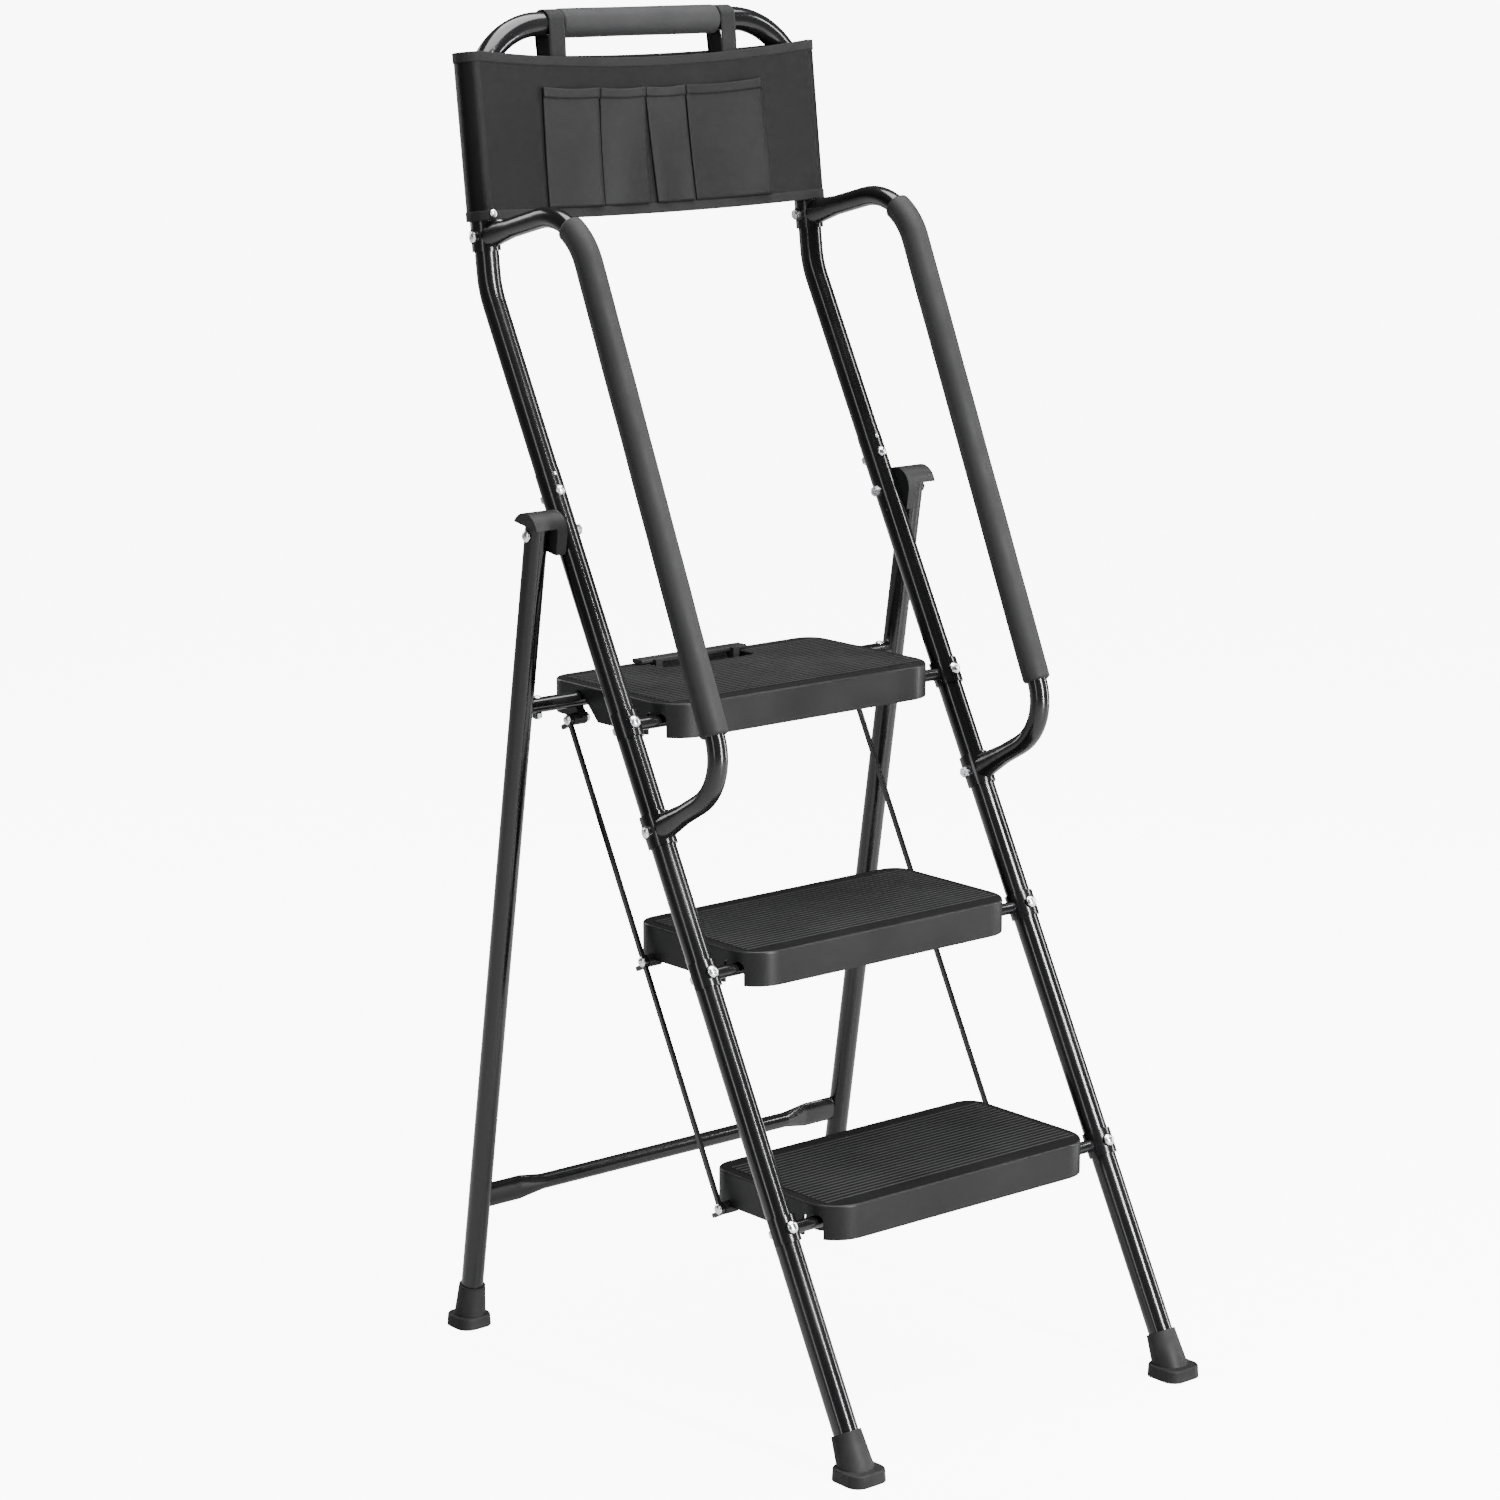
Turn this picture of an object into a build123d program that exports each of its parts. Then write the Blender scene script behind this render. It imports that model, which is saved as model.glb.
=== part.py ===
from build123d import *
from math import cos, radians, sin, tan
import os

# A three-step folding ladder with a tall hand frame, two side handrails and a tool bag.
# Millimetres.  +Z is up, the climber stands on the -Y side, -X is the climber's left.
# The origin is on the floor, in the middle of the whole object's plan.

# ---- driving dimensions -----------------------------------------------------------------
GAP = 0.08                  # radial play between pieces that fit round one another
RAIL_LEAN = 27.5            # degrees that the front rails lean back from upright
RAIL_Y = -306.10            # where the rail axis would meet the floor
RAIL_X = 218.0              # rail axis from the middle
RAIL_OD = 26.0
RAIL_WALL = 1.4
RAIL_BOTTOM_Z = 16.0
SEAM_Z = 940.0              # joint between the lower rail and the hand frame
JOINT_BOLT_Z = 919.0
STEP_RISE = 235.0           # from one tread to the next
FIRST_PIVOT_Z = 225.5       # front pivot of the bottom step

FRAME_OD = 25.0             # hand frame tube
FRAME_WALL = 1.5
FRAME_BEND_Z = 1120.0       # where the hand frame bends upright
FRAME_LEAN = 6.7            # lean of its upper part
FRAME_TOP_Z = 1386.0        # axis of the top bar
FRAME_BEND_R = 90.0
SWAGE_OD = 23.0             # necked end that slides into the lower rail
SWAGE_LENGTH = 58.0

HINGE_Z = 883.0             # bolt that joins the rear legs to the rails
LEG_X = 255.0
LEG_OD = 24.0
LEG_WALL = 1.2
LEG_LEAN = 9.32
LEG_BOTTOM_Z = 12.0
UPPER_BAR_Z = 700.0
UPPER_BAR_OD = 16.0
LOWER_BAR_Z = 150.0
LOWER_BAR_OD = 17.0

STEP_HALF = 182.0           # half the width of a tread
STEP_TOP = 20.3             # tread surface above its pivot
STEP_DEEP = 36.0            # height of the skirt
STEP_SKIN = 3.0
STEP_FRONT = 31.0           # tread in front of the pivot
STEP_REAR = 160.0           # tread behind the pivot
TOP_STEP_REAR = 181.0
PIVOT_OD = 13.0
LINK_BACK = 131.0           # rear pivot of each step, behind and below the front one
LINK_DROP = 17.0
LINK_IN = 189.5             # inner face of a link bar
LINK_THICK = 4.0

HANDRAIL_OD = 21.0
HANDRAIL_WALL = 1.5
LOW_JUNCTION_Z = 597.0
HIGH_JUNCTION_Z = 1174.0
GRIP_OD = 29.5
TOP_GRIP_OD = 31.0
TOP_GRIP_HALF = 104.0

BAG_HALF = 235.0
BAG_BOTTOM_Z = 1190.0
BAG_TALL = 170.0            # along the hand frame
BAG_DEEP = 38.0
BAG_WALL = 2.4
POCKET_PROUD = 9.0
POCKET_WALL = 1.4

SHANK_R = 3.0               # every bolt is 6 mm
SADDLE_WALL = 2.3

BLACK = (0.03, 0.03, 0.035)
PLASTIC = (0.09, 0.09, 0.095)
FOAM = (0.07, 0.07, 0.075)
RUBBER = (0.05, 0.05, 0.05)
FABRIC = (0.05, 0.05, 0.052)
CHROME = (0.75, 0.75, 0.77)

SIDES = (("left", -1), ("right", 1))
ALONG_X = Vector(1, 0, 0)
RAIL_UP = Vector(0, sin(radians(RAIL_LEAN)), cos(radians(RAIL_LEAN)))
RAIL_FRONT = Vector(0, -cos(radians(RAIL_LEAN)), sin(radians(RAIL_LEAN)))
FRAME_UP = Vector(0, sin(radians(FRAME_LEAN)), cos(radians(FRAME_LEAN)))
LEG_UP = Vector(0, -sin(radians(LEG_LEAN)), cos(radians(LEG_LEAN)))

PIVOTS = {
    "bottom": FIRST_PIVOT_Z,
    "middle": FIRST_PIVOT_Z + STEP_RISE,
    "top": FIRST_PIVOT_Z + 2 * STEP_RISE,
}

os.makedirs("parts", exist_ok=True)


def rail_y(z):
    """Y of the lower rail's axis at height z."""
    return RAIL_Y + z * tan(radians(RAIL_LEAN))


def frame_y(z):
    """Y of the hand frame's upper part at height z."""
    return rail_y(FRAME_BEND_Z) + (z - FRAME_BEND_Z) * tan(radians(FRAME_LEAN))


def leg_y(z):
    """Y of the rear leg's axis at height z."""
    return rail_y(HINGE_Z) + (HINGE_Z - z) * tan(radians(LEG_LEAN))


def rail_plane(x, z):
    """Plane across a lower rail at height z; its X runs along +X and its Y to the rear."""
    return Plane(origin=(x, rail_y(z), z), x_dir=(1, 0, 0), z_dir=RAIL_UP)


def frame_plane(x, z):
    """Plane across the upper part of the hand frame at height z."""
    return Plane(origin=(x, frame_y(z), z), x_dir=(1, 0, 0), z_dir=FRAME_UP)


def leg_plane(x, z):
    """Plane across a rear leg at height z."""
    return Plane(origin=(x, leg_y(z), z), x_dir=(1, 0, 0), z_dir=LEG_UP)


def side_plane(x, y, z):
    """Upright plane seen from +X: its X runs to the rear and its Y up."""
    return Plane(origin=(x, y, z), x_dir=(0, 1, 0), z_dir=(1, 0, 0))


def cross_hole(centre, direction, radius=SHANK_R + GAP, length=40.0):
    """Cut a round hole through the part in hand, both ways from its centre."""
    with BuildSketch(Plane(origin=centre, z_dir=direction)) as hole:
        Circle(radius)
    extrude(hole.sketch, amount=length, both=True, mode=Mode.SUBTRACT)


def dome_head(seat, outward, head_r=6.0, head_h=3.4):
    """Add a domed bolt head that stands out from seat."""
    radial = Plane(origin=seat, z_dir=outward).x_dir
    flat = 0.3 * head_r
    with BuildSketch(Plane(origin=seat, x_dir=radial, z_dir=radial.cross(outward))) as half:
        with BuildLine():
            Polyline((flat, head_h), (0, head_h), (0, 0), (head_r, 0), (head_r, 0.3 * head_h))
            ThreePointArc((head_r, 0.3 * head_h), (0.7 * head_r, 0.8 * head_h), (flat, head_h))
        make_face()
    revolve(half.sketch, axis=Axis(seat, outward), revolution_arc=360)


def shank(start, direction, length, radius=SHANK_R):
    """Add a bolt's shank, which runs from start along direction."""
    with BuildSketch(Plane(origin=start, z_dir=direction)) as disc:
        Circle(radius)
    extrude(disc.sketch, amount=length)


def hex_nut(seat, outward, across=10.0, tall=5.0):
    """Add a hexagonal nut that stands out from seat."""
    with BuildSketch(Plane(origin=seat, z_dir=outward)) as hexagon:
        RegularPolygon(across / 2, 6, major_radius=False)
        Circle(SHANK_R + GAP, mode=Mode.SUBTRACT)
    extrude(hexagon.sketch, amount=tall)


def wrap_cut(x, plane_at, z, tube_od):
    """Cut the room for a tube of the frame out of the part in hand."""
    with BuildSketch(plane_at(x, z)) as tube:
        Circle(tube_od / 2 + GAP)
    extrude(tube.sketch, amount=60.0, both=True, mode=Mode.SUBTRACT)


def write(builder, name, colour):
    """Label and colour a finished piece and write its file."""
    builder.part.label = name
    builder.part.color = Color(*colour)
    export_step(builder.part, f"parts/{name}.step")


# ---- lower rails: straight steel tubes from the foot to the seam -----------------------
for side, sign in SIDES:
    x = sign * RAIL_X
    with BuildPart() as lower_rail:
        with BuildSketch(rail_plane(x, RAIL_BOTTOM_Z)):
            Circle(RAIL_OD / 2)
            Circle(RAIL_OD / 2 - RAIL_WALL, mode=Mode.SUBTRACT)
        extrude(amount=(SEAM_Z - RAIL_BOTTOM_Z) / cos(radians(RAIL_LEAN)))
        for z in (*PIVOTS.values(), JOINT_BOLT_Z):
            cross_hole((x, rail_y(z), z), RAIL_FRONT)
        for z in (LOW_JUNCTION_Z, HINGE_Z):
            cross_hole((x, rail_y(z), z), ALONG_X)
    write(lower_rail, f"lower_rail_{side}", BLACK)

# ---- hand frame: one tube bent into an upside-down U, necked at both ends --------------
SWAGE_OVERLAP = 4.0
with BuildPart() as hand_frame:
    with BuildLine() as frame_line:
        FilletPolyline(
            (-RAIL_X, rail_y(SEAM_Z), SEAM_Z),
            (-RAIL_X, rail_y(FRAME_BEND_Z), FRAME_BEND_Z),
            (-RAIL_X, frame_y(FRAME_TOP_Z), FRAME_TOP_Z),
            (RAIL_X, frame_y(FRAME_TOP_Z), FRAME_TOP_Z),
            (RAIL_X, rail_y(FRAME_BEND_Z), FRAME_BEND_Z),
            (RAIL_X, rail_y(SEAM_Z), SEAM_Z),
            radius=FRAME_BEND_R,
        )
    with BuildSketch(rail_plane(-RAIL_X, SEAM_Z)):
        Circle(FRAME_OD / 2)
        Circle(FRAME_OD / 2 - FRAME_WALL, mode=Mode.SUBTRACT)
    sweep(path=frame_line.line)
    for side, sign in SIDES:
        x = sign * RAIL_X
        with BuildSketch(rail_plane(x, SEAM_Z).offset(SWAGE_OVERLAP)):
            Circle(SWAGE_OD / 2)
            Circle(SWAGE_OD / 2 - FRAME_WALL, mode=Mode.SUBTRACT)
        extrude(amount=-(SWAGE_LENGTH + SWAGE_OVERLAP))
        cross_hole((x, rail_y(JOINT_BOLT_Z), JOINT_BOLT_Z), RAIL_FRONT)
        cross_hole((x, frame_y(HIGH_JUNCTION_Z), HIGH_JUNCTION_Z), ALONG_X)
write(hand_frame, "hand_frame", BLACK)

# ---- joint bolts and nuts: through the rail and its necked end, head to the front -------
ON_TUBE = 1.0               # how far heads and nuts reach round the tube they sit on
NUT_TALL = 5.0
with BuildPart() as joint_bolts:
    for side, sign in SIDES:
        middle = Vector(sign * RAIL_X, rail_y(JOINT_BOLT_Z), JOINT_BOLT_Z)
        seat = middle + RAIL_FRONT * (RAIL_OD / 2 - ON_TUBE)
        dome_head(seat, RAIL_FRONT, head_r=5.5, head_h=3.2 + ON_TUBE)
        wrap_cut(sign * RAIL_X, rail_plane, JOINT_BOLT_Z, RAIL_OD)
    for side, sign in SIDES:
        middle = Vector(sign * RAIL_X, rail_y(JOINT_BOLT_Z), JOINT_BOLT_Z)
        shank(middle + RAIL_FRONT * (RAIL_OD / 2 + 1.0), -RAIL_FRONT, RAIL_OD + NUT_TALL + 2.0)
write(joint_bolts, "joint_bolts", CHROME)

with BuildPart() as joint_nuts:
    for side, sign in SIDES:
        middle = Vector(sign * RAIL_X, rail_y(JOINT_BOLT_Z), JOINT_BOLT_Z)
        hex_nut(middle - RAIL_FRONT * (RAIL_OD / 2 - ON_TUBE), -RAIL_FRONT, tall=NUT_TALL + ON_TUBE)
        wrap_cut(sign * RAIL_X, rail_plane, JOINT_BOLT_Z, RAIL_OD)
write(joint_nuts, "joint_nuts", CHROME)

# ---- seam buttons: the small spring buttons that click through the rails' tops ---------
BUTTON_R = 2.2
with BuildPart() as seam_buttons:
    for side, sign in SIDES:
        middle = Vector(sign * RAIL_X, rail_y(SEAM_Z - 5.0), SEAM_Z - 5.0)
        dome_head(middle + RAIL_FRONT * (RAIL_OD / 2 - 0.4), RAIL_FRONT, head_r=BUTTON_R, head_h=1.6)
        wrap_cut(sign * RAIL_X, rail_plane, SEAM_Z, RAIL_OD)
write(seam_buttons, "seam_buttons", CHROME)

# ---- cross tubes: each step turns on one; its ends are formed into saddles -------------
SADDLE_TALL = 27.0
CROSS_WALL = 1.5
SADDLE_OUTER = RAIL_OD / 2 + GAP + SADDLE_WALL
SADDLE_SEAT = SADDLE_OUTER + 0.8
for step, z in PIVOTS.items():
    with BuildPart() as cross_tube:
        with BuildSketch(side_plane(0, rail_y(z), z)):
            Circle(PIVOT_OD / 2)
        extrude(amount=RAIL_X - RAIL_OD / 4, both=True)
        for side, sign in SIDES:
            x = sign * RAIL_X
            with BuildSketch(rail_plane(x, z)):
                Circle(SADDLE_OUTER)
                with Locations((sign * SADDLE_OUTER / 2, SADDLE_OUTER)):
                    Rectangle(SADDLE_OUTER, 2 * SADDLE_OUTER, mode=Mode.SUBTRACT)
                with Locations((-sign * SADDLE_OUTER / 2, SADDLE_OUTER + PIVOT_OD / 2 + 1.0)):
                    Rectangle(SADDLE_OUTER, 2 * SADDLE_OUTER, mode=Mode.SUBTRACT)
            extrude(amount=SADDLE_TALL / 2, both=True)
            middle = Vector(x, rail_y(z), z)
            shank(middle, RAIL_FRONT, SADDLE_SEAT, radius=7.0)
            wrap_cut(x, rail_plane, z, RAIL_OD)
            cross_hole(middle + RAIL_FRONT * SADDLE_OUTER, RAIL_FRONT, length=8.0)
        with BuildSketch(side_plane(0, rail_y(z), z)):
            Circle(PIVOT_OD / 2 - CROSS_WALL)
        extrude(amount=RAIL_X - RAIL_OD / 4, both=True, mode=Mode.SUBTRACT)
    write(cross_tube, f"cross_tube_{step}", BLACK)

with BuildPart() as cross_tube_bolts:
    for z in PIVOTS.values():
        for side, sign in SIDES:
            seat = Vector(sign * RAIL_X, rail_y(z), z) + RAIL_FRONT * SADDLE_SEAT
            dome_head(seat, RAIL_FRONT, head_r=6.2, head_h=3.8)
            shank(seat, -RAIL_FRONT, SADDLE_SEAT + RAIL_OD / 2 + NUT_TALL + 1.5)
write(cross_tube_bolts, "cross_tube_bolts", CHROME)

with BuildPart() as cross_tube_nuts:
    for z in PIVOTS.values():
        for side, sign in SIDES:
            middle = Vector(sign * RAIL_X, rail_y(z), z)
            hex_nut(middle - RAIL_FRONT * (RAIL_OD / 2 - ON_TUBE), -RAIL_FRONT, tall=NUT_TALL + ON_TUBE)
            wrap_cut(sign * RAIL_X, rail_plane, z, RAIL_OD)
write(cross_tube_nuts, "cross_tube_nuts", CHROME)

# ---- handrails: bent tubes in the planes of the rails, a saddle formed at each end ------
HANDRAIL_TOP = (RAIL_Y + 438.0, 1212.0)     # where the upper bend's runs meet: Y, Z
HANDRAIL_LOW = (RAIL_Y + 200.0, 661.0)
TOP_BEND_R = 70.0
LOW_BEND_R = 58.0
EAR_BACK = 8.5                      # how far a saddle's ears reach behind the tube's axis
UP_SADDLE_HALF = 15.5
LOW_SADDLE_HALF = 17.0
EAR_SEAT = 0.7
FLARE = ((8.0, 14.5, 12.0), (28.0, 12.4, 11.0), (48.0, 10.5, 10.5))   # distance, half height, half width
junctions = (
    (frame_plane, HIGH_JUNCTION_Z, FRAME_OD, UP_SADDLE_HALF),
    (rail_plane, LOW_JUNCTION_Z, RAIL_OD, LOW_SADDLE_HALF),
)
for side, sign in SIDES:
    x = sign * RAIL_X
    with BuildPart() as handrail:
        with BuildLine(side_plane(x, 0, 0)) as handrail_line:
            Polyline(
                (frame_y(HIGH_JUNCTION_Z), HIGH_JUNCTION_Z),
                HANDRAIL_TOP,
                HANDRAIL_LOW,
                (rail_y(LOW_JUNCTION_Z), LOW_JUNCTION_Z),
            )
            fillet(handrail_line.vertices().sort_by(Axis.Z)[-1], TOP_BEND_R)
            fillet(handrail_line.vertices().sort_by(Axis.Y)[0], LOW_BEND_R)
        start = handrail_line.line @ 0
        with BuildSketch(Plane(origin=start, z_dir=handrail_line.line % 0)):
            Circle(HANDRAIL_OD / 2)
        sweep(path=handrail_line.line)
        # the tube's ends are pressed out into a flare as tall as the saddle
        for share in (0, 1):
            inward = handrail_line.line % share * (1 if share == 0 else -1)
            at = handrail_line.line @ share
            for back, half_high, half_wide in FLARE:
                with BuildSketch(Plane(origin=at + inward * back, x_dir=(1, 0, 0), z_dir=inward)):
                    Ellipse(half_wide, half_high)
            loft()
        with BuildSketch(Plane(origin=start, z_dir=handrail_line.line % 0)):
            Circle(HANDRAIL_OD / 2 - HANDRAIL_WALL)
        sweep(path=handrail_line.line, mode=Mode.SUBTRACT)
        for plane_at, z, tube_od, half_tall in junctions:
            outer = tube_od / 2 + GAP + SADDLE_WALL
            with BuildSketch(plane_at(x, z)):
                Circle(outer)
                with Locations((0, EAR_BACK + outer)):
                    Rectangle(2 * outer, 2 * outer, mode=Mode.SUBTRACT)
            extrude(amount=half_tall, both=True)
            middle = plane_at(x, z).origin
            shank(middle - ALONG_X * (outer + EAR_SEAT), ALONG_X, 2 * (outer + EAR_SEAT), radius=7.5)
            wrap_cut(x, plane_at, z, tube_od)
            cross_hole(middle, ALONG_X)
    write(handrail, f"handrail_{side}", BLACK)

with BuildPart() as handrail_bolts:
    for side, sign in SIDES:
        for plane_at, z, tube_od, half_tall in junctions:
            reach = tube_od / 2 + GAP + SADDLE_WALL + EAR_SEAT
            seat = plane_at(sign * RAIL_X, z).origin + ALONG_X * sign * reach
            dome_head(seat, ALONG_X * sign, head_r=5.6, head_h=3.2)
            shank(seat, ALONG_X * -sign, 2 * reach + NUT_TALL + 0.8)
write(handrail_bolts, "handrail_bolts", CHROME)

with BuildPart() as handrail_nuts:
    for side, sign in SIDES:
        for plane_at, z, tube_od, half_tall in junctions:
            reach = tube_od / 2 + GAP + SADDLE_WALL + EAR_SEAT
            hex_nut(plane_at(sign * RAIL_X, z).origin - ALONG_X * sign * reach, ALONG_X * -sign)
write(handrail_nuts, "handrail_nuts", CHROME)

# ---- foam grips: on the handrails' long runs and on the top bar ------------------------
GRIP_BEND = 38.0                    # degrees of the top bend that the foam covers
GRIP_END_Z = 708.0
high = Vector(*HANDRAIL_TOP)
run = (Vector(*HANDRAIL_LOW) - high).normalized()
junction = Vector(frame_y(HIGH_JUNCTION_Z), HIGH_JUNCTION_Z)
turn = run.get_angle(high - junction)
bend_start = high + run * (TOP_BEND_R * tan(radians(turn / 2)))
grip_end = high + run * ((GRIP_END_Z - high.Y) / run.Y)
for side, sign in SIDES:
    with BuildPart() as handrail_grip:
        with BuildLine(side_plane(sign * RAIL_X, 0, 0)) as grip_line:
            Line((grip_end.X, grip_end.Y), (bend_start.X, bend_start.Y))
            JernArc((bend_start.X, bend_start.Y), (-run.X, -run.Y), TOP_BEND_R, -GRIP_BEND)
        start = grip_line.line @ 0
        with BuildSketch(Plane(origin=start, z_dir=grip_line.line % 0)):
            Circle(GRIP_OD / 2)
            Circle(HANDRAIL_OD / 2 + GAP, mode=Mode.SUBTRACT)
        sweep(path=grip_line.line)
        fillet(handrail_grip.edges().filter_by(GeomType.CIRCLE).filter_by(
            lambda edge: abs(edge.radius - GRIP_OD / 2) < 0.01), 2.5)
    write(handrail_grip, f"handrail_grip_{side}", FOAM)

with BuildPart() as top_grip:
    with BuildSketch(side_plane(0, frame_y(FRAME_TOP_Z), FRAME_TOP_Z)):
        Circle(TOP_GRIP_OD / 2)
        Circle(FRAME_OD / 2 + GAP, mode=Mode.SUBTRACT)
    extrude(amount=TOP_GRIP_HALF, both=True)
    fillet(top_grip.edges().filter_by(GeomType.CIRCLE).filter_by(
        lambda edge: abs(edge.radius - TOP_GRIP_OD / 2) < 0.01), 2.0)
write(top_grip, "top_grip", FOAM)

# ---- steps: moulded trays with a ribbed tread, hung on the cross tubes ------------------
TREAD_PITCH = 7.0
TREAD_RIB = 0.8
FRONT_CORNER_R = 38.0
REAR_CORNER_R = 24.0
EAR_R = 6.6
EAR_TALL = 28.0
EAR_GAP = 0.4                       # between an ear and the link bar that turns on it
NOTCH_HALF = 12.5                   # the skirt's opening for the cross tube
HAND_HALF = 62.0                    # half the length of the hand hole in the top step
HAND_FROM = 131.0
HAND_TO = 166.0
CATCH_PATH = ((127.6, 4.5), (118.8, -7.1), (109.0, -16.7), (98.6, -24.3))
CATCH_R = 9.0
PIN_BACK = 160.0                    # latch pin, behind and above the front pivot
PIN_UP = 9.5
PIN_R = 2.0
for step, z in PIVOTS.items():
    is_top = step == "top"
    rear = TOP_STEP_REAR if is_top else STEP_REAR
    depth = rear + STEP_FRONT
    y = rail_y(z)
    middle_y = y + (rear - STEP_FRONT) / 2
    skirt_plane = Plane(origin=(0, middle_y, z + STEP_TOP - STEP_DEEP))
    side_view = side_plane(0, y, z)
    with BuildPart() as tread:
        with BuildSketch(skirt_plane) as outline:
            Rectangle(2 * STEP_HALF, depth)
            fillet(outline.vertices().group_by(Axis.Y)[0], FRONT_CORNER_R)
            fillet(outline.vertices().group_by(Axis.Y)[-1], REAR_CORNER_R)
        extrude(amount=STEP_DEEP)
        fillet(tread.edges().group_by(Axis.Z)[-1], 2.4)
        with BuildSketch(skirt_plane) as hollow:
            Rectangle(2 * (STEP_HALF - STEP_SKIN), depth - 2 * STEP_SKIN)
            fillet(hollow.vertices().group_by(Axis.Y)[0], FRONT_CORNER_R - STEP_SKIN)
            fillet(hollow.vertices().group_by(Axis.Y)[-1], REAR_CORNER_R - STEP_SKIN)
        extrude(amount=STEP_DEEP - STEP_SKIN, mode=Mode.SUBTRACT)
        # four webs under the tread carry the cross tube
        with BuildSketch(Plane(origin=(0, y + 18.0, z - 10.5))):
            with GridLocations(98.0, 0, 4, 1):
                Rectangle(5.0, 76.0)
        extrude(amount=STEP_TOP - STEP_SKIN + 10.5)
        # long stiffening webs run from side to side
        with BuildSketch(Plane(origin=(0, y, z + STEP_TOP - STEP_SKIN - 7.0))):
            with Locations((0, 30.0), (0, 80.0)):
                Rectangle(2 * STEP_HALF - 2 * STEP_SKIN, 2.0)
        extrude(amount=7.0)
        # an ear on each side turns on the link bar's screw
        for sign in (-1, 1):
            with BuildSketch(side_view.offset(sign * (STEP_HALF - 10.0))):
                with Locations((LINK_BACK, -LINK_DROP)):
                    Circle(EAR_R)
                with Locations((LINK_BACK, EAR_TALL / 2 - LINK_DROP)):
                    Rectangle(2 * EAR_R, EAR_TALL)
            extrude(amount=sign * 8.5)
            with BuildSketch(side_view.offset(sign * (STEP_HALF - 2.0))):
                with Locations((LINK_BACK, -LINK_DROP)):
                    Circle(EAR_R)
            extrude(amount=sign * (LINK_IN - EAR_GAP - STEP_HALF + 2.0))
        # raised ribs across the tread
        rib_rows = int((depth - 34.0) / TREAD_PITCH)
        with BuildSketch(Plane(origin=(0, middle_y, z + STEP_TOP - 0.3))):
            with GridLocations(0, TREAD_PITCH, 1, rib_rows):
                Rectangle(2 * STEP_HALF - 22.0, 2.6)
        extrude(amount=TREAD_RIB + 0.3)
        # bore for the cross tube, a notch in each side skirt, holes for the link screws
        with BuildSketch(side_view):
            Circle(PIVOT_OD / 2 + GAP)
        extrude(amount=STEP_HALF - 16.0, both=True, mode=Mode.SUBTRACT)
        for sign in (-1, 1):
            with BuildSketch(side_view.offset(sign * (STEP_HALF - 18.0))):
                with Locations((0, -8.0)):
                    RectangleRounded(2 * NOTCH_HALF, 34.0, 6.0)
            extrude(amount=sign * 20.0, mode=Mode.SUBTRACT)
            with BuildSketch(side_view.offset(sign * (STEP_HALF - 12.0))):
                with Locations((LINK_BACK, -LINK_DROP)):
                    Circle(SHANK_R + GAP)
            extrude(amount=sign * 22.0, mode=Mode.SUBTRACT)
        if is_top:
            # the rear frame's crossbar leaves through a sloping slot in each side skirt
            for sign in (-1, 1):
                with BuildSketch(side_view.offset(sign * (STEP_HALF - 11.0))):
                    with Locations(*CATCH_PATH):
                        Circle(CATCH_R)
                    make_hull()
                extrude(amount=sign * 13.0, mode=Mode.SUBTRACT)
            # hand hole through the tread
            with BuildSketch(Plane(origin=(0, y + (HAND_FROM + HAND_TO) / 2, z + 10.0))):
                RectangleRounded(2 * HAND_HALF, HAND_TO - HAND_FROM, 9.0)
            extrude(amount=20.0, mode=Mode.SUBTRACT)
            # lugs under the tread hold the latch pins
            for sign in (-1, 1):
                with BuildSketch(side_view.offset(sign * (HAND_HALF + 1.0))):
                    with Locations((PIN_BACK, PIN_UP)):
                        Circle(6.0)
                    with Locations((PIN_BACK, PIN_UP + 4.5)):
                        Rectangle(12.0, 9.0)
                    with Locations((PIN_BACK, PIN_UP)):
                        Circle(PIN_R + GAP, mode=Mode.SUBTRACT)
                extrude(amount=sign * 7.0)
    write(tread, f"step_{step}", PLASTIC)

# ---- link screws: hold the link bars to the steps' ears --------------------------------
LINK_OUT = LINK_IN + LINK_THICK
SCREW_GAP = 0.4
for step, z in PIVOTS.items():
    with BuildPart() as link_screws:
        for side, sign in SIDES:
            seat = Vector(sign * (LINK_OUT + SCREW_GAP), rail_y(z) + LINK_BACK, z - LINK_DROP)
            dome_head(seat, ALONG_X * sign, head_r=5.4, head_h=3.0)
            shank(seat, ALONG_X * -sign, LINK_OUT + SCREW_GAP - STEP_HALF + 16.0)
    write(link_screws, f"link_screws_{step}", CHROME)

    with BuildPart() as link_nuts:
        for side, sign in SIDES:
            seat = Vector(sign * (STEP_HALF - 10.0), rail_y(z) + LINK_BACK, z - LINK_DROP)
            hex_nut(seat, ALONG_X * -sign, tall=4.0)
    write(link_nuts, f"link_nuts_{step}", CHROME)

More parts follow.
